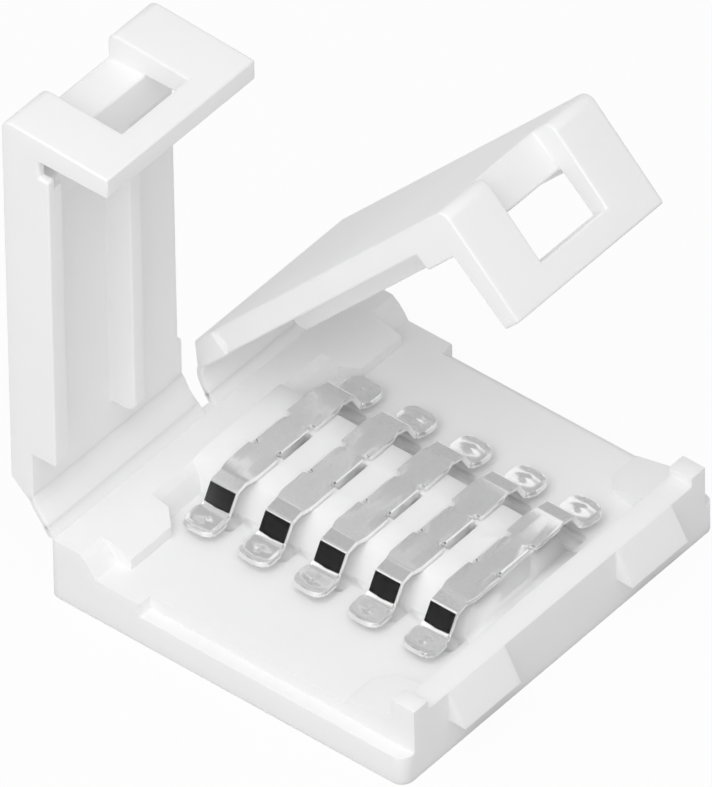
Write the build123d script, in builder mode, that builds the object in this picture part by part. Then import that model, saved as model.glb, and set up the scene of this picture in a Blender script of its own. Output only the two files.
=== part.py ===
from build123d import *
import math
import os

os.makedirs("parts", exist_ok=True)

# Connector for a flat light strip: a moulded tray with two hinged covers and five spring contacts.
# Frame: X along the strip, Y from the latch side to the hinge side, Z up, origin at the underside's centre.
# All sizes are in millimetres.

# Strip and contact row
strip_width = 12.0
strip_clearance = 0.35
contact_count = 5
contact_pitch = 2.5
contact_shift = 0.425          # the row lies this far off the channel's middle, towards the hinge

# Tray
plate_length = 17.4
plate_thickness = 1.25
corner_radius = 0.5
floor_rise = 0.6
floor_inset = 0.6              # the channel floor stands this far in from the two ends
inset_stop = 4.2               # the step along the ends stops this far from the hinge side
latch_wall = 1.0
latch_wall_height = 0.95       # above the channel floor
corner_block_length = 0.75
corner_block_rise = 0.4        # above the latch wall
ledge_width = 1.7
ledge_height = 0.85            # above the channel floor
shelf_reach = 0.3
shelf_height = 0.5

# Teeth that keep the strip between them
tooth_reach = 1.15
tooth_inset = 1.2
tooth_length = 2.2
tooth_chamfer = 0.6
tooth_front_height = 0.5
low_tooth_reach = 2.1
low_tooth_length = 1.4
low_tooth_front_height = 0.15
low_tooth_back_height = 0.65

# Raised bed that carries the contacts
bed_length = 4.8               # of its flat top
bed_slope = 0.45               # run of the slope at each end
bed_height = 0.9               # above the channel floor
bed_start = 1.0                # from the latch wall
slot_gap = 0.03                # around a contact's leg
slot_depth = 0.65
pocket_length = 1.0            # recess in the floor under each contact's slope
pocket_width = 1.5
pocket_depth = 0.25

# Catches on the latch side
catch_inset = 2.5
catch_length = 3.1
catch_reach = 0.75
catch_height = 1.35

# Hinge
hinge_offset = 0.4             # axis outside the tray's side
hinge_rise = 0.85              # axis above the ledge
film_thickness = 0.3
film_run = 0.3                 # how far a film's faces keep their direction at each end
lip_drop = 0.1                 # the lip starts this far below the ledge
lip_lean = 0.25
lip_rise = 0.32

# Covers, measured from the hinge axis along the cover (s) and outward through it (t)
slit_width = 1.0
root_slit_width = 0.6
end_setback = 0.1
cover_outer = 1.3
cover_inner = 0.3
root_start = 0.28              # middle of the end that the film joins
root_middle = 0.3
root_lean = 20.0
root_chamfer = 1.0             # where the outer face begins
root_taper = 0.5               # where the inner face begins
root_length = 2.2              # how far the wider root runs
latch_gap = 0.1
latch_plate = 1.15
latch_tip = 0.9                # the latch plate's thickness at its free edge
latch_rise = 0.05              # the free edge stays this far above the underside
cover_round = 0.45
edge_rib_width = 0.8
rib_gap = 0.05                 # between the closed cover's ribs and the ledge
mid_rib_width = 0.65
mid_rib_place = 3.6            # from the middle of the part
mid_rib_start = 2.0
mid_rib_round = 0.5
cross_rib_inner = -0.37
cross_rib_length = 2.5
cross_rib_short = 1.75
notch_inner = -0.36
notch_length = 0.75
window_length = 3.6
window_margin = 2.2            # from the cover's outer end
window_strip = 1.15
running_gap = 0.15

# Covers' openings in the rest pose, from closed
near_open = 90.0
far_open = 47.7

# Contacts
metal = 0.2
contact_flat = 5.5
contact_lift = 0.25            # of the flats above the bed, on the folded legs
contact_slope = 0.95
contact_drop = 1.05
contact_tip = 1.0
tip_dip = 0.05
tip_lift = 0.2
wing_length = 1.47
wing_width = 1.38
bend_width = 1.15
waist_length = 1.56
waist_width = 0.9
notch_width = 0.7
spoon_width = 1.44

# Places worked out from the sizes above
channel_width = strip_width + strip_clearance
plate_width = latch_wall + channel_width + tooth_reach + ledge_width
latch_y = -plate_width / 2
hinge_side_y = plate_width / 2
end_x = plate_length / 2
channel_y = latch_y + latch_wall
ledge_y = hinge_side_y - ledge_width
tooth_y = ledge_y - tooth_reach
floor_z = plate_thickness + floor_rise
ledge_z = floor_z + ledge_height
wall_z = floor_z + latch_wall_height
bed_z = floor_z + bed_height
row_y = channel_y + channel_width / 2 + contact_shift
contact_rows = [row_y + (i - (contact_count - 1) / 2) * contact_pitch for i in range(contact_count)]
hinge_y = hinge_side_y + hinge_offset
hinge_height = ledge_z + hinge_rise
rib_inner = rib_gap - hinge_rise
latch_drop = hinge_height - latch_rise
cover_end = end_x - end_setback
cover_start = slit_width / 2
latch_s = hinge_y - latch_y + latch_gap
bed_front_y = channel_y + bed_start
bed_foot = bed_length / 2 + bed_slope
leg_y = (waist_width - metal) / 2

# Tray
with BuildPart() as base:
    with BuildSketch(Plane.XY):
        RectangleRounded(plate_length, plate_width, corner_radius)
    extrude(amount=plate_thickness)

    # Channel floor, set in at both ends, and the full-length hinge side behind it
    with BuildSketch(Plane.XY.offset(plate_thickness)):
        with Locations((0, latch_y)):
            Rectangle(plate_length - 2 * floor_inset, plate_width - ledge_width,
                      align=(Align.CENTER, Align.MIN))
    extrude(amount=floor_rise)
    with BuildSketch(Plane.XY.offset(plate_thickness)):
        RectangleRounded(plate_length, plate_width, corner_radius)
        with Locations((0, hinge_side_y - inset_stop)):
            Rectangle(plate_length, plate_width, align=(Align.CENTER, Align.MAX), mode=Mode.SUBTRACT)
    extrude(amount=floor_rise)
    with BuildSketch(Plane.XY.offset(floor_z)):
        RectangleRounded(plate_length, plate_width, corner_radius)
        with Locations((0, ledge_y)):
            Rectangle(plate_length, plate_width, align=(Align.CENTER, Align.MAX), mode=Mode.SUBTRACT)
    extrude(amount=ledge_height)
    with BuildSketch(Plane.XY.offset(floor_z)):
        with Locations((0, ledge_y)):
            Rectangle(plate_length, shelf_reach, align=(Align.CENTER, Align.MAX))
    extrude(amount=shelf_height)

    # Latch wall with a higher block at each end
    with BuildSketch(Plane.XY.offset(floor_z)):
        with Locations((0, latch_y)):
            Rectangle(plate_length - 2 * floor_inset, latch_wall, align=(Align.CENTER, Align.MIN))
    extrude(amount=latch_wall_height)
    for side in (-1, 1):
        with BuildSketch(Plane.XY.offset(wall_z)):
            with Locations((side * (end_x - floor_inset - corner_block_length / 2), latch_y)):
                Rectangle(corner_block_length, latch_wall, align=(Align.CENTER, Align.MIN))
        extrude(amount=corner_block_rise)

    # Strip teeth: high ones at the hinge side, low ones at the latch side, with sloped tops
    for side in (-1, 1):
        tooth_out = side * (end_x - tooth_inset)
        tooth_in = side * (end_x - tooth_inset - tooth_length)
        tooth_back = side * (end_x - tooth_inset - tooth_length - tooth_chamfer)
        with BuildSketch(Plane.XY.offset(floor_z)):
            with BuildLine():
                Polyline((tooth_out, ledge_y), (tooth_out, tooth_y), (tooth_in, tooth_y),
                         (tooth_back, tooth_y + tooth_chamfer), (tooth_back, ledge_y), close=True)
            make_face()
        extrude(amount=ledge_height)
        low_out = side * (end_x - floor_inset)
        low_in = side * (end_x - floor_inset - low_tooth_length)
        low_front = channel_y + low_tooth_reach
        with BuildSketch(Plane.XY.offset(floor_z)):
            with BuildLine():
                Polyline((low_out, channel_y), (low_out, low_front), (low_in, low_front),
                         (low_in - side * tooth_chamfer, low_front - tooth_chamfer),
                         (low_in - side * tooth_chamfer, channel_y), close=True)
            make_face()
        extrude(amount=low_tooth_back_height)
    with BuildSketch(Plane.YZ.offset(-end_x)):
        with BuildLine():
            Polyline((tooth_y, floor_z + tooth_front_height), (ledge_y, ledge_z),
                     (tooth_y, ledge_z), close=True)
        make_face()
    extrude(amount=plate_length, mode=Mode.SUBTRACT)
    with BuildSketch(Plane.YZ.offset(-end_x)):
        with BuildLine():
            Polyline((channel_y + low_tooth_reach, floor_z + low_tooth_front_height),
                     (channel_y, floor_z + low_tooth_back_height),
                     (channel_y + low_tooth_reach, floor_z + low_tooth_back_height), close=True)
        make_face()
    extrude(amount=plate_length, mode=Mode.SUBTRACT)

    # Bed under the contacts, joined to the ledge and sloped at both ends
    with BuildSketch(Plane.XZ.offset(-ledge_y)):
        with BuildLine():
            Polyline((-bed_foot, floor_z), (-bed_length / 2, bed_z), (bed_length / 2, bed_z),
                     (bed_foot, floor_z), close=True)
        make_face()
    extrude(amount=ledge_y - bed_front_y)

    # Slots for each contact's folded legs, and a recess in the floor under each of its slopes
    for y in contact_rows:
        with BuildSketch(Plane.XY.offset(bed_z)):
            with Locations((0, y - leg_y), (0, y + leg_y)):
                Rectangle(waist_length + 2 * slot_gap, metal + 2 * slot_gap)
        extrude(amount=-slot_depth, mode=Mode.SUBTRACT)
        pocket_x = bed_foot + pocket_length / 2
        with BuildSketch(Plane.XY.offset(floor_z)):
            with Locations((-pocket_x, y), (pocket_x, y)):
                RectangleRounded(pocket_length, pocket_width, metal)
        extrude(amount=-pocket_depth, mode=Mode.SUBTRACT)

    # Catches: ramps on the latch side with a flat underside
    for side in (-1, 1):
        catch_x = side * (end_x - catch_inset - catch_length / 2) - catch_length / 2
        with BuildSketch(Plane.YZ.offset(catch_x)):
            with BuildLine():
                Polyline((latch_y, wall_z), (latch_y - catch_reach, wall_z - catch_height),
                         (latch_y, wall_z - catch_height), close=True)
            make_face()
        extrude(amount=catch_length)

    # Lip that leads up to each hinge film
    lip_length = cover_end - root_slit_width / 2
    lip_root = (hinge_side_y, ledge_z - lip_drop)
    lip_end = (lip_root[0] + lip_lean, lip_root[1] + lip_rise)
    lip_side = math.hypot(lip_lean, lip_rise)
    lip_way = (lip_lean / lip_side, lip_rise / lip_side)
    lip_inner_end = (lip_end[0] - film_thickness * lip_way[1], lip_end[1] + film_thickness * lip_way[0])
    lip_foot = (hinge_side_y - film_thickness, ledge_z)
    for side in (-1, 1):
        lip_x = min(side * root_slit_width / 2, side * cover_end)
        with BuildSketch(Plane.YZ.offset(lip_x)):
            with BuildLine():
                Polyline(lip_foot, (lip_foot[0], lip_root[1]), lip_root, lip_end, lip_inner_end, close=True)
            make_face()
        extrude(amount=lip_length)
base.part.label = "base"
export_step(base.part, "parts/base.step")


def cover_point(opened, s, t):
    # A point of a cover's section in the part's Y and Z, for a cover opened by so many degrees
    turn = math.radians(opened)
    y = hinge_y - s * math.cos(turn) + t * math.sin(turn)
    z = hinge_height + s * math.sin(turn) + t * math.cos(turn)
    return (y, z)


# Covers: the same moulding in two mirrored hands
root_way = (math.cos(math.radians(root_lean)), math.sin(math.radians(root_lean)))
half_film = film_thickness / 2
root_outer_end = (root_start - half_film * root_way[1], root_middle + half_film * root_way[0])
root_inner_end = (root_start + half_film * root_way[1], root_middle - half_film * root_way[0])
for name, hand, opened in (("near_cover", 1, near_open), ("far_cover", -1, far_open)):
    turn = math.radians(opened)
    along = (0, -math.cos(turn), math.sin(turn))
    outward = (0, math.sin(turn), math.cos(turn))
    pivot = (0, hinge_y, hinge_height)
    # Section plane: its local axes are s and t, and its normal runs towards the near end
    section = Plane(origin=pivot, x_dir=along, z_dir=(-1, 0, 0))
    # Face plane: its local axes are the distance from the part's middle and s
    face = Plane(origin=pivot, x_dir=(-1, 0, 0), z_dir=outward)

    with BuildPart() as cover:
        start = cover_start if hand > 0 else -cover_end
        with BuildSketch(section.offset(start)):
            with BuildLine():
                Polyline(root_outer_end, (root_chamfer, cover_outer), (latch_s + latch_plate, cover_outer),
                         (latch_s + latch_tip, -latch_drop), (latch_s, -latch_drop), (latch_s, cover_inner),
                         (root_taper, cover_inner), root_inner_end, close=True)
            make_face()
        extrude(amount=cover_end - cover_start)
        outer_corner = cover.edges().filter_by(Axis.X).sort_by_distance(
            face.from_local_coords((hand * cover_end / 2, latch_s + latch_plate, cover_outer)))[0]
        fillet(outer_corner, cover_round)

        # The root is a little wider, towards the slit between the covers
        root_add = (slit_width - root_slit_width) / 2
        start = root_slit_width / 2 if hand > 0 else -cover_start
        with BuildSketch(section.offset(start)):
            with BuildLine():
                Polyline(root_outer_end, (root_chamfer, cover_outer), (root_length, cover_outer),
                         (root_length, cover_inner), (root_taper, cover_inner), root_inner_end, close=True)
            make_face()
        extrude(amount=root_add)

        # Rib along the outer edge, from just in front of the ledge's shelf
        rib_start = hinge_y - ledge_y + shelf_reach + running_gap
        start = cover_end - edge_rib_width if hand > 0 else -cover_end
        with BuildSketch(section.offset(start)):
            with Locations(((rib_start + latch_s) / 2, cover_inner)):
                Rectangle(latch_s - rib_start, cover_inner - rib_inner, align=(Align.CENTER, Align.MAX))
        extrude(amount=edge_rib_width)

        # Rib down the middle, with a rounded end over the ledge
        rib_end = latch_s - cross_rib_length
        round_s = mid_rib_start + mid_rib_round
        round_t = rib_inner + mid_rib_round
        bulge = mid_rib_round * math.sqrt(0.5)
        start = mid_rib_place if hand > 0 else -mid_rib_place - mid_rib_width
        with BuildSketch(section.offset(start)):
            with BuildLine():
                Polyline((mid_rib_start, round_t), (mid_rib_start, cover_inner), (rib_end, cover_inner),
                         (rib_end, rib_inner), (round_s, rib_inner))
                ThreePointArc((round_s, rib_inner), (round_s - bulge, round_t - bulge),
                              (mid_rib_start, round_t))
            make_face()
        extrude(amount=mid_rib_width)

        # Thicker end behind the latch plate, cut back over the contacts
        with BuildSketch(face.offset(cross_rib_inner)):
            with BuildLine():
                Polyline((hand * cover_start, latch_s), (hand * cover_start, latch_s - cross_rib_short),
                         (hand * mid_rib_place, latch_s - cross_rib_short),
                         (hand * mid_rib_place, latch_s - cross_rib_length),
                         (hand * cover_end, latch_s - cross_rib_length), (hand * cover_end, latch_s),
                         close=True)
            make_face()
        extrude(amount=cover_inner - cross_rib_inner)

        # Room for the tray's corner block, behind a thin outer skin that is notched at the latch
        corner_clear = corner_block_length + floor_inset + running_gap
        with BuildSketch(face.offset(notch_inner)):
            with Locations((hand * (end_x - corner_clear / 2), latch_s - notch_length / 2)):
                Rectangle(corner_clear, notch_length)
        extrude(amount=rib_inner, mode=Mode.SUBTRACT)
        block_room = corner_clear - floor_inset + end_setback
        block_depth = latch_gap + latch_wall + running_gap
        with BuildSketch(face.offset(cover_inner)):
            with Locations((hand * (end_x - corner_clear + block_room / 2), latch_s - block_depth / 2)):
                Rectangle(block_room, block_depth)
        extrude(amount=rib_inner - cover_inner, mode=Mode.SUBTRACT)

        # Window that the catch goes into, open through the outer corner
        with BuildSketch(face.offset(cover_outer)):
            with Locations((hand * (cover_end - window_margin - window_length / 2), latch_s)):
                Rectangle(window_length, 2 * latch_plate, align=(Align.CENTER, Align.MIN))
        extrude(amount=-(cover_outer + latch_drop - window_strip), mode=Mode.SUBTRACT)
    cover.part.label = name
    export_step(cover.part, f"parts/{name}.step")

    # Hinge film between the tray's lip and the cover's root
    film_name = name.replace("cover", "hinge_film")
    outer_end = cover_point(opened, *root_outer_end)
    inner_end = cover_point(opened, *root_inner_end)
    way_y = along[1] * root_way[0] + outward[1] * root_way[1]
    way_z = along[2] * root_way[0] + outward[2] * root_way[1]
    with BuildPart() as film:
        film_x = min(-hand * root_slit_width / 2, -hand * cover_end)
        with BuildSketch(Plane.YZ.offset(film_x)):
            with BuildLine():
                for low, high in ((lip_end, outer_end), (lip_inner_end, inner_end)):
                    Bezier(low, (low[0] + film_run * lip_way[0], low[1] + film_run * lip_way[1]),
                           (high[0] - film_run * way_y, high[1] - film_run * way_z), high)
                Line(outer_end, inner_end)
                Line(lip_inner_end, lip_end)
            make_face()
        extrude(amount=lip_length)
    film.part.label = film_name
    export_step(film.part, f"parts/{film_name}.step")

# Contacts: strips stamped flat to one outline, then bent
half_flat = contact_flat / 2
slope_end = half_flat + contact_slope
tip_end = slope_end + contact_tip
top_z = bed_z + contact_lift + metal
leg_drop = contact_lift + metal + slot_depth
tip_z = top_z - contact_drop - tip_dip
for number, y in enumerate(contact_rows, start=1):
    with BuildPart() as contact:
        # Side view of the bent strip, with the sprung ends dipping and turning up
        with BuildSketch(Plane.XZ.offset(-y - spoon_width / 2)):
            for side in (-1, 1):
                with BuildLine():
                    Polyline((0, top_z - metal), (0, top_z), (side * half_flat, top_z),
                             (side * slope_end, top_z - contact_drop))
                    ThreePointArc((side * slope_end, top_z - contact_drop),
                                  (side * (slope_end + contact_tip / 2), tip_z),
                                  (side * tip_end, tip_z + tip_lift))
                    Line((side * tip_end, tip_z + tip_lift), (side * tip_end, tip_z + tip_lift - metal))
                    ThreePointArc((side * tip_end, tip_z + tip_lift - metal),
                                  (side * (slope_end + contact_tip / 2 - metal / 4), tip_z - metal),
                                  (side * (slope_end - metal / 2), top_z - contact_drop - metal))
                    Polyline((side * (slope_end - metal / 2), top_z - contact_drop - metal),
                             (side * (half_flat - metal / 2), top_z - metal), (0, top_z - metal))
                make_face()
        extrude(amount=spoon_width)
        # Flat outline of the stamping
        outline = [(0, waist_width / 2), (waist_length / 2, waist_width / 2),
                   (waist_length / 2, notch_width / 2), (half_flat - wing_length, notch_width / 2),
                   (half_flat - wing_length, wing_width / 2), (half_flat, bend_width / 2),
                   (slope_end, bend_width / 2), (slope_end + contact_tip / 3, spoon_width / 2)]
        with BuildSketch(Plane.XY) as stamping:
            for side in (-1, 1):
                for turn_y in (-1, 1):
                    points = [(side * px, y + turn_y * py) for px, py in outline]
                    with BuildLine():
                        Polyline(*points)
                        ThreePointArc(points[-1],
                                      (side * (tip_end - contact_tip / 6), y + turn_y * spoon_width / 3),
                                      (side * tip_end, y))
                        Line((side * tip_end, y), (0, y))
                        Line((0, y), points[0])
                    make_face()
        extrude(amount=top_z + metal, mode=Mode.INTERSECT)
        # Legs folded down at the waist into the bed's slots
        with BuildSketch(Plane.XY.offset(top_z - leg_drop)):
            with Locations((0, y - leg_y), (0, y + leg_y)):
                Rectangle(waist_length, metal)
        extrude(amount=leg_drop)
    contact.part.label = f"contact_{number}"
    export_step(contact.part, f"parts/contact_{number}.step")
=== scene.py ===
from math import cos, exp, pi, radians, sin, sqrt

import bmesh
import bpy
from mathutils import Matrix, Vector


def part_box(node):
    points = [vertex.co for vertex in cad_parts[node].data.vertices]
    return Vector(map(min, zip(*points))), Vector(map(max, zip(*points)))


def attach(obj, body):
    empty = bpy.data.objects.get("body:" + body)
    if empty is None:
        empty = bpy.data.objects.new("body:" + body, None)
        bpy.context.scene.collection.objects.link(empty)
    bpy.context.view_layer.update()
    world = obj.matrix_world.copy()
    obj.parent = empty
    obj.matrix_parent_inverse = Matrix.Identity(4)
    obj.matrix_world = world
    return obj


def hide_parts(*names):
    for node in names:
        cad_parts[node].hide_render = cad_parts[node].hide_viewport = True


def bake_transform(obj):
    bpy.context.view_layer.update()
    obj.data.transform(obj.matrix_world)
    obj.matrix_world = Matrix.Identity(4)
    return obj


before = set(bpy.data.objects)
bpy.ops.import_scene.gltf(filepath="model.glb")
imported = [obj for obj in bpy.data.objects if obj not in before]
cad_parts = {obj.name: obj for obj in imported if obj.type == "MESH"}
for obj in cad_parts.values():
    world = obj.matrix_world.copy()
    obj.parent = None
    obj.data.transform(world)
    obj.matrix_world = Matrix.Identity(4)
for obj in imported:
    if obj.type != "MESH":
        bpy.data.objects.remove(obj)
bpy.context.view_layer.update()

mm = 0.001


# Colours are written as sRGB hex and turned to linear here
def hexColour(text):
    parts = [int(text[i:i + 2], 16) / 255 for i in (1, 3, 5)]
    return [p / 12.92 if p <= 0.04045 else ((p + 0.055) / 1.055) ** 2.4 for p in parts] + [1.0]


# Adds one node with its settings and links; an input is given by name or number
def addNode(tree, kind, inputs=None, **settings):
    node = tree.nodes.new(kind)
    for key, value in settings.items():
        setattr(node, key, value)
    for key, value in (inputs or {}).items():
        if isinstance(value, bpy.types.NodeSocket):
            tree.links.new(value, node.inputs[key])
        else:
            node.inputs[key].default_value = value
    return node


def newMaterial(name):
    material = bpy.data.materials.new(name)
    material.use_nodes = True
    material.node_tree.nodes.clear()
    return material, material.node_tree


# Materials
whiteNylon = {
    "colour": "#F8F8F8",
    "cloudColour": "#F3F3F3",     # where the melt cooled a little greyer
    "roughness": 0.46,
    "ior": 1.53,
    "grainSize": 0.09,            # mm, spark-eroded mould surface, drawn coarser than the real 0.02
    "cloudSize": 5.0,             # mm
    "grainHeight": 0.004,         # mm
    "scatter": 0.3,
    "scatterDepth": 0.7,          # mm
    "roughnessSpread": 0.06,      # either way, from pit to pit
    "grainStrength": 0.5,
}


def makeWhiteNylon(values):
    # Injection moulded white nylon: milky, satin, with the fine pits of the eroded mould
    material, tree = newMaterial("mouldedWhiteNylon")
    place = addNode(tree, "ShaderNodeTexCoord").outputs["Object"]
    clouds = addNode(tree, "ShaderNodeTexNoise", {
        "Vector": place, "Scale": 1 / (values["cloudSize"] * mm), "Detail": 3.0, "Roughness": 0.55})
    tint = addNode(tree, "ShaderNodeMix", {
        "Factor": clouds.outputs["Fac"], "A": hexColour(values["cloudColour"]),
        "B": hexColour(values["colour"])}, data_type="RGBA")
    grain = addNode(tree, "ShaderNodeTexNoise", {
        "Vector": place, "Scale": 1 / (values["grainSize"] * mm), "Detail": 2.0, "Roughness": 0.6})
    gloss = addNode(tree, "ShaderNodeMapRange", {
        "Value": grain.outputs["Fac"], "To Min": values["roughness"] - values["roughnessSpread"],
        "To Max": values["roughness"] + values["roughnessSpread"]})
    bump = addNode(tree, "ShaderNodeBump", {
        "Height": grain.outputs["Fac"], "Strength": values["grainStrength"],
        "Distance": values["grainHeight"] * mm})
    skin = addNode(tree, "ShaderNodeBsdfPrincipled", {
        "Base Color": tint.outputs["Result"], "Roughness": gloss.outputs["Result"], "IOR": values["ior"],
        "Normal": bump.outputs["Normal"], "Subsurface Weight": values["scatter"],
        "Subsurface Scale": values["scatterDepth"] * mm, "Subsurface Radius": (1.0, 1.0, 1.0)})
    addNode(tree, "ShaderNodeOutputMaterial", {"Surface": skin.outputs["BSDF"]})
    return material


brightTin = {
    "colour": "#FAFAFA",
    "dullColour": "#EEEEEE",
    "roughness": 0.16,
    "streakWidth": 0.05,          # mm, rolling marks along the strip
    "streakLength": 1.2,          # mm
    "mottleSize": 0.14,           # mm, grain of the tin plate
    "streakHeight": 0.0016,       # mm
    "mottleHeight": 0.0022,       # mm
    "streakStrength": 0.5,
    "mottleStrength": 0.6,
    "smoother": 0.04,             # off the roughness between the streaks
    "rougher": 0.07,              # on to it in the streaks
}


def makeBrightTin(values):
    # Bright tin over rolled spring bronze: mirror-like, with rolling streaks and a faint mottled grain
    material, tree = newMaterial("brightTinPlate")
    place = addNode(tree, "ShaderNodeTexCoord").outputs["Object"]
    along, across = (1 / (values[k] * mm) for k in ("streakLength", "streakWidth"))
    stretch = addNode(tree, "ShaderNodeMapping", {"Vector": place, "Scale": (along, across, across)})
    streaks = addNode(tree, "ShaderNodeTexNoise", {
        "Vector": stretch.outputs["Vector"], "Scale": 1.0, "Detail": 3.0})
    mottle = addNode(tree, "ShaderNodeTexNoise", {
        "Vector": place, "Scale": 1 / (values["mottleSize"] * mm), "Detail": 2.0})
    tint = addNode(tree, "ShaderNodeMix", {
        "Factor": mottle.outputs["Fac"], "A": hexColour(values["dullColour"]),
        "B": hexColour(values["colour"])}, data_type="RGBA")
    gloss = addNode(tree, "ShaderNodeMapRange", {
        "Value": streaks.outputs["Fac"], "To Min": values["roughness"] - values["smoother"],
        "To Max": values["roughness"] + values["rougher"]})
    waves = addNode(tree, "ShaderNodeBump", {
        "Height": mottle.outputs["Fac"], "Strength": values["mottleStrength"],
        "Distance": values["mottleHeight"] * mm})
    bump = addNode(tree, "ShaderNodeBump", {
        "Height": streaks.outputs["Fac"], "Strength": values["streakStrength"],
        "Distance": values["streakHeight"] * mm, "Normal": waves.outputs["Normal"]})
    skin = addNode(tree, "ShaderNodeBsdfPrincipled", {
        "Base Color": tint.outputs["Result"], "Metallic": 1.0, "Roughness": gloss.outputs["Result"],
        "Normal": bump.outputs["Normal"]})
    addNode(tree, "ShaderNodeOutputMaterial", {"Surface": skin.outputs["BSDF"]})
    return material


nylon = makeWhiteNylon(whiteNylon)
tin = makeBrightTin(brightTin)
print("materials made")


# Mesh helpers
def linkMesh(name, mesh):
    thing = bpy.data.objects.new(name, mesh)
    bpy.context.scene.collection.objects.link(thing)
    return thing


def applyModifiers(thing):
    # The evaluated result becomes a plain mesh and the modifiers go
    graph = bpy.context.evaluated_depsgraph_get()
    mesh = bpy.data.meshes.new_from_object(thing.evaluated_get(graph))
    thing.modifiers.clear()
    old = thing.data
    thing.data = mesh
    bpy.data.meshes.remove(old)
    mesh.name = thing.name


def smoothMesh(mesh):
    for face in mesh.polygons:
        face.use_smooth = True


# Housing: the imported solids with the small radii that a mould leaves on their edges
housing = {
    "edgeRadius": 0.15,           # mm
    "radiusSteps": 3,
    "sharpAngle": 28.0,           # degrees; blends between flatter faces stay as they are
    "samePlace": 0.002,           # mm, within which two corners of the solids are one
    "flatAngle": 1.0,             # degrees, within which two triangles are one face
    "flatWeight": 100,            # percent, so that large faces keep their flat shading
}

# The tray's forms that stand a little off the solid, all in mm
tray = {
    "bedTop": 2.75,               # height of the solid's bed
    "bedRise": 0.42,              # the bed stands this much higher, close under the contacts
    "bedHalf": 2.40,              # half the bed's flat length
    "bedSlope": 0.5,              # run of its end slopes for each mm of height
    "slotHalf": 0.81,             # half the length of the slots for the contacts' legs
    "slotWalls": {0.22: 0.36, 0.48: 0.74},  # across a contact, from its middle: solid to render
    "slotLimit": -6.08,           # the last slot stops here, inside the bed's side by the latch wall
    "bedZone": (3.95, -6.6, 5.5),  # half length and both sides of the part with slots, left sharp
    "ledgeFront": {               # (y, z) of the step down from the ledge: solid to render, as a ramp
        (6.40, 2.70): (6.62, 2.70),
        (6.40, 2.35): (6.33, 2.46),
        (6.10, 2.35): (6.07, 2.14),
        (6.10, 1.85): (5.90, 1.85),
    },
    "samePlace": 0.005,           # how far off a corner may be and still be the one meant
    "cuts": (-3.35, 0.0, 3.35),   # through the pockets and slots, so that no flat face has a hole in it
    "cutSnap": 0.0005,            # a corner this near a cut moves on to it
    "onCut": 0.001,               # a corner this near a cut belongs to it
}


def shapeTray(shape, values):
    near, bedTop = values["samePlace"], values["bedTop"]
    boxes = [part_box(n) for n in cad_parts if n.startswith("contact_")]
    rows = [(low[1] + high[1]) / 2 / mm for low, high in boxes]
    for vert in shape.verts:
        x, y, z = vert.co / mm
        if abs(x) < values["slotHalf"] + near and z < bedTop + 2 * near:
            row = min(rows, key=lambda r: abs(y - r))
            for wall, place in values["slotWalls"].items():
                if abs(abs(y - row) - wall) < near:
                    y = max(row + (place if y > row else -place), values["slotLimit"])
        for (edgeY, edgeZ), place in values["ledgeFront"].items():
            if abs(y - edgeY) < near and abs(z - edgeZ) < near:
                y, z = place
        offSlope = abs(x) - values["bedHalf"] - (bedTop - vert.co.z / mm) * values["bedSlope"]
        if abs(z - bedTop) < near:
            z += values["bedRise"]
        if abs(offSlope) < near:
            x = (1 if x > 0 else -1) * (values["bedHalf"] + (bedTop - z) * values["bedSlope"])
        vert.co = Vector((x, y, z)) * mm


def cutThrough(shape, values):
    # Cuts across X; the edges that they leave are given back, to be kept
    for place in values["cuts"]:
        everything = shape.verts[:] + shape.edges[:] + shape.faces[:]
        bmesh.ops.bisect_plane(shape, geom=everything, dist=values["cutSnap"] * mm,
                               plane_co=(place * mm, 0, 0), plane_no=(1, 0, 0))
    return {edge for edge in shape.edges for place in values["cuts"]
            if all(abs(v.co.x - place * mm) < values["onCut"] * mm for v in edge.verts)}


def markEdges(shape, node, values):
    # Which edges get the mould's radius: all that turn enough, apart from those around the tray's slots
    weight = shape.edges.layers.float.new("bevel_weight_edge")
    reach, low, high = tray["bedZone"]
    for edge in shape.edges:
        x, y, z = (edge.verts[0].co + edge.verts[1].co) / 2 / mm
        inBed = node == "base" and abs(x) < reach and low < y < high
        if len(edge.link_faces) == 2 and not inBed:
            edge[weight] = float(edge.calc_face_angle() > radians(values["sharpAngle"]))


def softenedNode(node, name, values):
    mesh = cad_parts[node].data.copy()
    shape = bmesh.new()
    shape.from_mesh(mesh)
    bmesh.ops.remove_doubles(shape, verts=shape.verts, dist=values["samePlace"] * mm)
    kept = cutThrough(shape, tray) if node == "base" else set()
    bmesh.ops.dissolve_limit(shape, angle_limit=radians(values["flatAngle"]), verts=shape.verts,
                             edges=[edge for edge in shape.edges if edge not in kept])
    if node == "base":
        shapeTray(shape, tray)
    markEdges(shape, node, values)
    shape.to_mesh(mesh)
    shape.free()
    mesh.materials.clear()
    mesh.materials.append(nylon)
    smoothMesh(mesh)
    piece = linkMesh(name, mesh)
    mesh.set_sharp_from_angle(angle=radians(values["sharpAngle"]))
    rounding = piece.modifiers.new("edgeRadius", "BEVEL")
    rounding.width = values["edgeRadius"] * mm
    rounding.segments = values["radiusSteps"]
    rounding.limit_method = "WEIGHT"
    rounding.use_clamp_overlap = True
    flats = piece.modifiers.new("flatFaces", "WEIGHTED_NORMAL")
    flats.weight = values["flatWeight"]
    applyModifiers(piece)
    return piece


for node, body in (("base", "base"), ("near_cover", "near_cover"), ("far_cover", "far_cover")):
    piece = softenedNode(node, "housing_" + node, housing)
    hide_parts(node)
    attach(piece, body)
print("housing finished")


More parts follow.
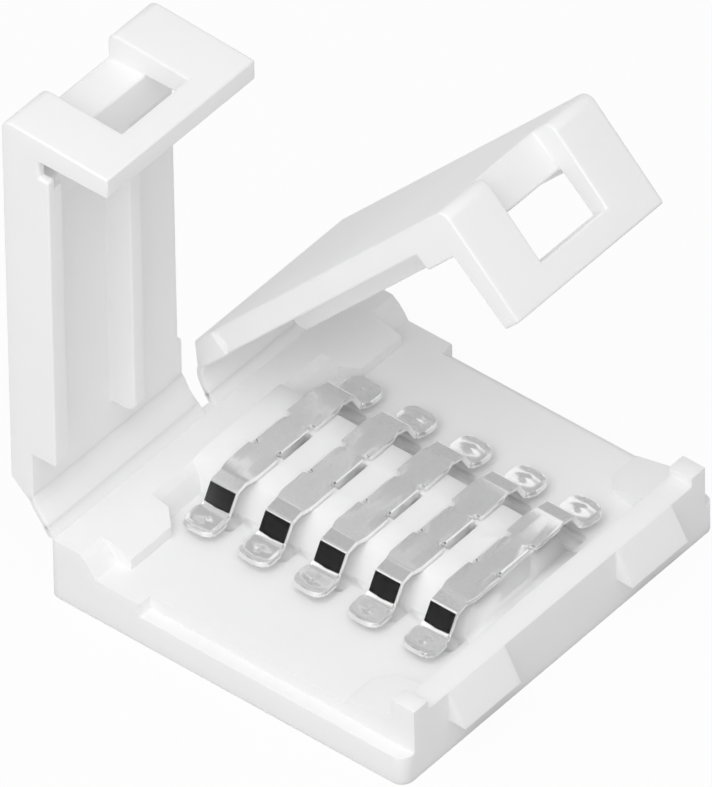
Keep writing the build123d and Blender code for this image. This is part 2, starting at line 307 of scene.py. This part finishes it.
# Hinge films: thin strips that bend from the tray's lip to each cover's root
film = {
    "thickness": 0.33,            # mm, a hair over the lip's, so that the joints don't show
    "thinning": 0.02,             # mm off each face half way, where it bends
    "run": 0.3,                   # mm, how far it keeps its direction at each end
    "overlap": 0.24,              # mm, run into the lip and the cover so that nothing tears
    "sink": 0.07,                 # mm off each face at the hidden ends
    "edgeRadius": 0.09,           # mm, of the two free edges
    "radiusSteps": 3,
    "rows": 16,                   # along the bend
    "columns": 24,                # across the width
    "samePlace": 0.002,           # mm, within which two corners of the solids are one
    "sharpAngle": 50,             # degrees
}


def sharedEnd(node, other, values):
    # Middle of the end face that a film shares with its neighbour, and the way square to that face
    near = [v.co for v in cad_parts[other].data.vertices]
    met = {(round(v.co.y, 7), round(v.co.z, 7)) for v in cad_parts[node].data.vertices
           if any((v.co - co).length < values["samePlace"] * mm for co in near)}
    inner, outer = Vector((0, *min(met))), Vector((0, *max(met)))
    across = outer - inner
    return (inner + outer) / 2, Vector((0, -across.z, across.y)).normalized()


def filmSection(low, high, values):
    # Places across the strip's width, each with what the edge's rounding takes off there
    radius = values["edgeRadius"] * mm
    places = []
    for step in range(values["radiusSteps"] + 1):
        angle = step / values["radiusSteps"] * pi / 2
        places.append((low + radius * (1 - cos(angle)), radius * (1 - sin(angle))))
    inside = [(low + radius + (high - low - 2 * radius) * k / values["columns"], 0.0)
              for k in range(1, values["columns"])]
    return places + inside + [(low + high - x, cut) for x, cut in reversed(places)]


def filmPiece(cover, name, values):
    node = cover.replace("cover", "hinge_film")
    low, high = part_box(node)
    start, startWay = sharedEnd(node, "base", values)
    end, endWay = sharedEnd(node, cover, values)
    run, overlap = values["run"] * mm, values["overlap"] * mm
    handles = [start, start + startWay * run, end - endWay * run, end]
    stations = [(start - startWay * overlap, startWay, values["sink"])]
    for row in range(values["rows"] + 1):
        t = row / values["rows"]
        a, b, c, d = handles
        centre = a * (1 - t) ** 3 + b * 3 * t * (1 - t) ** 2 + c * 3 * t * t * (1 - t) + d * t ** 3
        way = ((b - a) * (1 - t) ** 2 + (c - b) * 2 * t * (1 - t) + (d - c) * t * t).normalized()
        stations.append((centre, way, values["thinning"] * sin(pi * t)))
    stations.append((end + endWay * overlap, endWay, values["sink"]))
    section = filmSection(low[0], high[0], values)
    mesh = bmesh.new()
    rings = []
    for centre, way, thinner in stations:
        side = Vector((0, way.z, -way.y))
        half = (values["thickness"] / 2 - thinner) * mm
        ring = [mesh.verts.new(Vector((x, centre.y, centre.z)) + side * (half - cut)) for x, cut in section]
        ring += [mesh.verts.new(Vector((x, centre.y, centre.z)) - side * (half - cut))
                 for x, cut in reversed(section)]
        rings.append(ring)
    for first, second in zip(rings, rings[1:]):
        for k in range(len(first)):
            j = (k + 1) % len(first)
            mesh.faces.new((first[k], first[j], second[j], second[k]))
    for ring in (rings[0], rings[-1]):
        for k in range(len(section) - 1):
            mesh.faces.new((ring[k], ring[k + 1], ring[-k - 2], ring[-k - 1]))
    bmesh.ops.recalc_face_normals(mesh, faces=mesh.faces)
    data = bpy.data.meshes.new(name)
    mesh.to_mesh(data)
    mesh.free()
    data.materials.append(nylon)
    smoothMesh(data)
    data.set_sharp_from_angle(angle=radians(values["sharpAngle"]))
    piece = linkMesh(name, data)
    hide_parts(node)
    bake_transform(piece)


for cover in ("near_cover", "far_cover"):
    filmPiece(cover, cover.replace("cover", "film"), film)
print("hinge films made")


# Contacts: one stamping, cut to its outline, dished, folded and bent, then laid out as a row
contact = {
    "metal": 0.2,                 # mm, as all sizes here
    "raise": 0.2,                 # the flats stand this far above the solid's
    "flatHalf": 2.60,
    "bends": (                    # from the flat's end on: length, slope below level at its end
        (0.12, 12.0),
        (0.48, 12.0),             # first facet, which shows light
        (0.16, 60.0),
        (0.70, 60.0),             # steep part, which shows dark
        (0.30, 4.0),
        (0.45, 4.0),              # spoon
        (0.55, -15.0),
    ),
    "spoonStart": 4.12,
    "spoonWidth": 1.38,
    "spoonCorner": 0.42,
    "spoonSteps": 8,              # sides that each rounded corner is drawn with
    "flare": (0.18, 0.02),        # first point of the widening into the spoon: along, outwards
    "flareRun": 0.38,             # where the spoon has its whole width
    "wingWidth": 1.38,
    "wingStart": 1.04,
    "wingCorner": 0.05,
    "taperStart": 0.32,           # before the flat's end, the wings start to narrow
    "taperEnd": 0.1,              # after it, they have the bend's width
    "bendWidth": 1.15,
    "waistHalf": 0.77,            # half the length of the part with the legs
    "waistWidth": 1.15,
    "notchWidth": 0.84,           # across the contact between two notches
    "notchCorner": 0.08,
    "notchFoot": 0.06,            # the same corner at the leg's side, a little shorter along
    "legLength": 1.14,
    "legCorner": 0.08,
    "legRadius": 0.06,            # of the upper face where the leg folds down
    "foldSteps": 5,
    "foldReach": 0.03,            # past the leg's side, metal that folds with it
    "foldCut": 0.031,             # just past that, where the blank is cut
    "dimplePlace": 4.82,
    "dimpleRadius": 0.2,
    "dimpleHeight": 0.07,
    "curl": 0.05,                 # how far the spoon's sides turn up
    "curlPower": 4,               # the higher, the nearer the edge they start to
    "edgeRadius": 0.035,
    "radiusSteps": 2,
    "radiusAngle": 50,            # degrees, from which an edge is rounded
    "sharpAngle": 38,             # degrees, from which an edge shades sharp
    "step": 0.05,                 # spacing of the cuts where the metal bends
    "cutsAlong": (0.0, 0.08, 0.16),  # cuts along the contact, from its middle
    "cutsOutside": (0.1, 0.18),   # and from the waist's side
    "pathStep": 0.01,             # spacing of the points on the bent centre line
    "pathSpare": 0.1,             # centre line beyond the tip
    "samePoint": 1e-4,            # points of the outline nearer than this are one
    "cutSnap": 1e-5,              # a point this near a cut moves on to it
}


def tipEnd(values):
    return values["flatHalf"] + sum(length for length, slope in values["bends"])


def contactOutline(values):
    # One quarter of the flat blank, from the waist's leg out to the tip
    waist = values["waistWidth"] / 2
    leg = waist - values["legRadius"] + values["legRadius"] * pi / 2 + values["legLength"]
    wing = values["wingWidth"] / 2
    notch = values["notchWidth"] / 2
    spoon = values["spoonWidth"] / 2
    neck = values["bendWidth"] / 2
    waistEnd, wingStart, flatEnd, spoonStart = (
        values[k] for k in ("waistHalf", "wingStart", "flatHalf", "spoonStart"))
    legCorner, notchCorner, wingCorner = (values[k] for k in ("legCorner", "notchCorner", "wingCorner"))
    flareAlong, flareOut = values["flare"]
    points = [(0, leg), (waistEnd - legCorner, leg), (waistEnd, leg - legCorner),
              (waistEnd, notch + notchCorner), (waistEnd + values["notchFoot"], notch),
              (wingStart - notchCorner, notch), (wingStart, notch + notchCorner),
              (wingStart, wing - wingCorner), (wingStart + wingCorner, wing),
              (flatEnd - values["taperStart"], wing), (flatEnd + values["taperEnd"], neck),
              (spoonStart, neck), (spoonStart + flareAlong, neck + flareOut),
              (spoonStart + values["flareRun"], spoon)]
    corner, tip = values["spoonCorner"], tipEnd(values)
    for step in range(values["spoonSteps"] + 1):
        angle = pi / 2 * (1 - step / values["spoonSteps"])
        points.append((tip - corner * (1 - cos(angle)), spoon - corner * (1 - sin(angle))))
    return points + [(tip, 0.0)]


def contactPath(values):
    # Centre line of the bent blank, as (length, x, z, slope) at even steps
    spare = (values["pathSpare"], values["bends"][-1][1])
    stretches = ((values["flatHalf"], 0.0),) + values["bends"] + (spare,)
    rows, step = [], values["pathStep"]
    x, z, length, before = 0.0, 0.0, 0.0, 0.0
    for run, after in stretches:
        for k in range(round(run / step)):
            slope = -radians(before + (after - before) * (k + 0.5) * step / run)
            rows.append((length, x, z, slope))
            x += step * cos(slope)
            z += step * sin(slope)
            length += step
        before = after
    return rows


def bentPoint(x, y, path, values):
    # Where a point of the flat blank ends up
    side = 1 if x >= 0 else -1
    length = abs(x)
    # The tiny extra keeps a length that lies on a step from falling to the one before
    done, rowX, rowZ, slope = path[min(int(length / values["pathStep"] + 1e-6), len(path) - 1)]
    rest = length - done
    px, pz = rowX + rest * cos(slope), rowZ + rest * sin(slope)
    away = sqrt((length - values["dimplePlace"]) ** 2 + y * y) / values["dimpleRadius"]
    lift = values["dimpleHeight"] * exp(-away ** 2)
    if length > values["spoonStart"]:
        lift += values["curl"] * (abs(y) / (values["spoonWidth"] / 2)) ** values["curlPower"]
    foldStart = values["waistWidth"] / 2 - values["legRadius"]
    if length < values["waistHalf"] + values["foldReach"] and abs(y) > foldStart:
        turn = (abs(y) - foldStart) / values["legRadius"]
        way = 1 if y > 0 else -1
        if turn < pi / 2:
            return Vector((side * px, way * (foldStart + values["legRadius"] * sin(turn)),
                           values["legRadius"] * (cos(turn) - 1)))
        drop = abs(y) - foldStart - values["legRadius"] * pi / 2
        return Vector((side * px, way * (foldStart + values["legRadius"]), -values["legRadius"] - drop))
    return Vector((side * (px - sin(slope) * lift), y, pz + cos(slope) * lift))


def contactBlank(values):
    # The whole outline from its quarter, without the points that come twice, cut where it will bend
    quarter = contactOutline(values)
    loop = quarter + [(x, -y) for x, y in reversed(quarter[:-1])]
    loop += [(-x, y) for x, y in reversed(loop)]
    cleaned = []
    for point in loop:
        if not cleaned or (Vector(point) - Vector(cleaned[-1])).length > values["samePoint"]:
            cleaned.append(point)
    if (Vector(cleaned[0]) - Vector(cleaned[-1])).length < values["samePoint"]:
        cleaned.pop()
    blank = bmesh.new()
    blank.faces.new([blank.verts.new((x, y, 0)) for x, y in cleaned])

    def cut(place, way):
        everything = blank.verts[:] + blank.edges[:] + blank.faces[:]
        bmesh.ops.bisect_plane(blank, geom=everything, dist=values["cutSnap"], plane_co=place, plane_no=way)

    step = values["step"]
    place = values["flatHalf"] - step
    while place < tipEnd(values):
        for side in (-1, 1):
            cut((side * place, 0, 0), (1, 0, 0))
        place += step
    for side in (-1, 1):
        cut((side * (values["waistHalf"] + values["foldCut"]), 0, 0), (1, 0, 0))
    foldStart, steps = values["waistWidth"] / 2 - values["legRadius"], values["foldSteps"]
    rows = [foldStart + values["legRadius"] * pi / 2 * k / steps for k in range(steps + 1)]
    rows += [*values["cutsAlong"], *(values["waistWidth"] / 2 + k for k in values["cutsOutside"])]
    for row in rows:
        for side in (-1, 1):
            cut((0, side * row, 0), (0, 1, 0))
    return blank


def contactPiece(values):
    path = contactPath(values)
    blank = contactBlank(values)
    for vert in blank.verts:
        vert.co = bentPoint(vert.co.x, vert.co.y, path, values) * mm
    bmesh.ops.triangulate(blank, faces=[f for f in blank.faces if len(f.verts) > 4])
    bmesh.ops.recalc_face_normals(blank, faces=blank.faces)
    if sum(f.normal.z * f.calc_area() for f in blank.faces) < 0:
        bmesh.ops.reverse_faces(blank, faces=blank.faces)
    mesh = bpy.data.meshes.new("contact_blank")
    blank.to_mesh(mesh)
    blank.free()
    smoothMesh(mesh)
    piece = linkMesh("contacts", mesh)
    wall = piece.modifiers.new("metal", "SOLIDIFY")
    wall.thickness = values["metal"] * mm
    wall.offset = -1
    rounding = piece.modifiers.new("edgeRadius", "BEVEL")
    rounding.width = values["edgeRadius"] * mm
    rounding.segments = values["radiusSteps"]
    rounding.limit_method = "ANGLE"
    rounding.angle_limit = radians(values["radiusAngle"])
    applyModifiers(piece)
    return piece


def rowTree(material):
    # Repeats the incoming piece along Y
    tree = bpy.data.node_groups.new("contactRow", "GeometryNodeTree")
    face = tree.interface
    face.new_socket("Geometry", in_out="INPUT", socket_type="NodeSocketGeometry")
    face.new_socket("Count", in_out="INPUT", socket_type="NodeSocketInt")
    face.new_socket("Pitch", in_out="INPUT", socket_type="NodeSocketVector")
    face.new_socket("First place", in_out="INPUT", socket_type="NodeSocketVector")
    face.new_socket("Geometry", in_out="OUTPUT", socket_type="NodeSocketGeometry")
    given = addNode(tree, "NodeGroupInput").outputs
    line = addNode(tree, "GeometryNodeMeshLine", {
        "Count": given["Count"], "Start Location": given["First place"], "Offset": given["Pitch"]})
    row = addNode(tree, "GeometryNodeInstanceOnPoints", {
        "Points": line.outputs["Mesh"], "Instance": given["Geometry"]})
    solid = addNode(tree, "GeometryNodeRealizeInstances", {"Geometry": row.outputs["Instances"]})
    finish = addNode(tree, "GeometryNodeSetMaterial", {
        "Geometry": solid.outputs["Geometry"], "Material": material})
    addNode(tree, "NodeGroupOutput", {"Geometry": finish.outputs["Geometry"]})
    return tree


def setInput(modifier, name, value):
    for item in modifier.node_group.interface.items_tree:
        if item.in_out == "INPUT" and item.name == name:
            modifier[item.identifier] = value


def contactRow(values):
    names = sorted(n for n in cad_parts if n.startswith("contact_"))
    boxes = [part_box(n) for n in names]
    centres = [Vector([(low[i] + high[i]) / 2 for i in range(3)]) for low, high in boxes]
    top = max(high[2] for low, high in boxes) + values["raise"] * mm
    piece = contactPiece(values)
    row = piece.modifiers.new("row", "NODES")
    row.node_group = rowTree(tin)
    setInput(row, "Count", len(names))
    setInput(row, "Pitch", centres[1] - centres[0])
    setInput(row, "First place", (centres[0].x, centres[0].y, top))
    piece.update_tag()
    applyModifiers(piece)
    smoothMesh(piece.data)
    piece.data.set_sharp_from_angle(angle=radians(values["sharpAngle"]))
    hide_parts(*names)
    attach(piece, "base")
    return piece


contactRow(contact)
print("contacts made")


# Stage: pale floor, soft lamps, and cards that only the metal mirrors
stage = {
    "floorSize": 0.8,             # m
    "floorColour": "#D8D8D8",
    "floorGlow": 0.95,            # share of plain white in what the camera sees of the floor
    "worldStrength": 0.56,
    "lampDistance": 0.16,
    "lampSize": 0.13,
    "lamps": {                    # where from, and the light on a face turned to it; 1 shows white as white
        "key": ((-0.52, -0.18, 0.82), 0.49),
        "fill": ((-0.95, -0.15, 0.28), 0.08),
    },
    "cardDistance": 0.075,
    "cards": {                    # where the contacts mirror it, size, share of white that it shows
        "blackCard": ((-0.84, 0.46, 0.29), 0.054, 0.0),
        "greyCard": ((0.22, 0.50, 0.84), 0.050, 0.5),
        "lowGreyCard": ((0.79, 0.475, 0.38), 0.044, 0.5),
    },
}


def seenDirectly(tree):
    # 1 for camera, glossy and transmission rays
    path = addNode(tree, "ShaderNodeLightPath").outputs
    first = addNode(tree, "ShaderNodeMath", {0: path["Is Camera Ray"], 1: path["Is Glossy Ray"]},
                    operation="MAXIMUM")
    return addNode(tree, "ShaderNodeMath", {0: first.outputs[0], 1: path["Is Transmission Ray"]},
                   operation="MAXIMUM").outputs[0]


def squareObject(name, centre, facing, size):
    turn = Vector(facing).to_track_quat("Z", "Y")
    mesh = bpy.data.meshes.new(name)
    corners = [(-1, -1), (1, -1), (1, 1), (-1, 1)]
    mesh.from_pydata([Vector(centre) + turn @ Vector((x * size / 2, y * size / 2, 0)) for x, y in corners],
                     [], [(0, 1, 2, 3)])
    return linkMesh(name, mesh)


def makeStage(values):
    world = bpy.data.worlds.new("softStudio")
    bpy.context.scene.world = world
    world.use_nodes = True
    tree = world.node_tree
    tree.nodes.clear()
    strength = addNode(tree, "ShaderNodeMapRange", {
        "Value": seenDirectly(tree), "To Min": values["worldStrength"], "To Max": 1.0})
    light = addNode(tree, "ShaderNodeBackground", {
        "Color": (1, 1, 1, 1), "Strength": strength.outputs["Result"]})
    addNode(tree, "ShaderNodeOutputWorld", {"Surface": light.outputs["Background"]})

    floor = squareObject("floor", (0, 0, 0), (0, 0, 1), values["floorSize"])
    material, tree = newMaterial("paleFloor")
    plain = addNode(tree, "ShaderNodeBsdfDiffuse", {"Color": hexColour(values["floorColour"])})
    glow = addNode(tree, "ShaderNodeEmission", {"Color": (1, 1, 1, 1), "Strength": 1.0})
    share = addNode(tree, "ShaderNodeMath", {0: seenDirectly(tree), 1: values["floorGlow"]},
                    operation="MULTIPLY")
    both = addNode(tree, "ShaderNodeMixShader", {
        0: share.outputs[0], 1: plain.outputs[0], 2: glow.outputs[0]})
    addNode(tree, "ShaderNodeOutputMaterial", {"Surface": both.outputs[0]})
    floor.data.materials.append(material)

    for name, (way, size, shade) in values["cards"].items():
        way = Vector(way).normalized()
        card = squareObject(name, way * values["cardDistance"], -way, size)
        material, tree = newMaterial(name)
        even = addNode(tree, "ShaderNodeEmission", {"Color": (1, 1, 1, 1), "Strength": shade})
        addNode(tree, "ShaderNodeOutputMaterial", {"Surface": even.outputs[0]})
        card.data.materials.append(material)
        card.visible_camera = card.visible_diffuse = card.visible_shadow = card.visible_transmission = False

    for name, (way, light) in values["lamps"].items():
        lamp = bpy.data.lights.new(name, "AREA")
        lamp.shape = "SQUARE"
        lamp.size = values["lampSize"]
        distance = values["lampDistance"]
        # Power P at distance d gives P / (pi * d * d) on a face turned to it, which white shows over pi
        lamp.energy = light * pi * pi * distance * distance
        holder = bpy.data.objects.new(name, lamp)
        bpy.context.scene.collection.objects.link(holder)
        way = Vector(way).normalized()
        holder.location = way * distance
        holder.rotation_euler = way.to_track_quat("Z", "Y").to_euler()


# Camera: a long lens, so that parallel edges stay parallel
view = {
    "azimuth": 219.98,            # degrees from +X towards +Y
    "elevation": 42.334,
    "roll": -0.937,
    "distance": 0.975,            # m
    "lens": 1399.97,              # mm
    "sensor": 36,                 # mm wide
    "clip": (0.01, 10),           # m
    "knownPoint": (-0.7, -0.1, 2.0),  # mm, a point of the tray
    "knownPixel": (371.41, 528.98),   # where it lies in the picture
    "pictureSize": (712, 787),
}


def makeCamera(values):
    azimuth, elevation, roll = (radians(values[k]) for k in ("azimuth", "elevation", "roll"))
    back = Vector((cos(elevation) * cos(azimuth), cos(elevation) * sin(azimuth), sin(elevation)))
    right = Vector((0, 0, 1)).cross(back).normalized()
    up = back.cross(right)
    rightRolled = right * cos(roll) + up * sin(roll)
    upRolled = up * cos(roll) - right * sin(roll)
    width, height = values["pictureSize"]
    metresPerPixel = values["distance"] / (values["lens"] / values["sensor"] * width)
    across = (values["knownPixel"][0] - width / 2) * metresPerPixel
    down = (values["knownPixel"][1] - height / 2) * metresPerPixel
    place = Vector(values["knownPoint"]) * mm + back * values["distance"]
    place = place - rightRolled * across + upRolled * down
    camera = bpy.data.cameras.new("camera")
    camera.sensor_fit = "HORIZONTAL"
    camera.sensor_width = values["sensor"]
    camera.lens = values["lens"]
    camera.clip_start, camera.clip_end = values["clip"]
    holder = bpy.data.objects.new("camera", camera)
    bpy.context.scene.collection.objects.link(holder)
    turn = Matrix((rightRolled, upRolled, back)).transposed().to_4x4()
    turn.translation = place
    holder.matrix_world = turn
    bpy.context.scene.camera = holder


makeStage(stage)
makeCamera(view)
bpy.context.scene.view_settings.view_transform = "Standard"
print("stage, lamps and camera set")

bpy.context.view_layer.update()
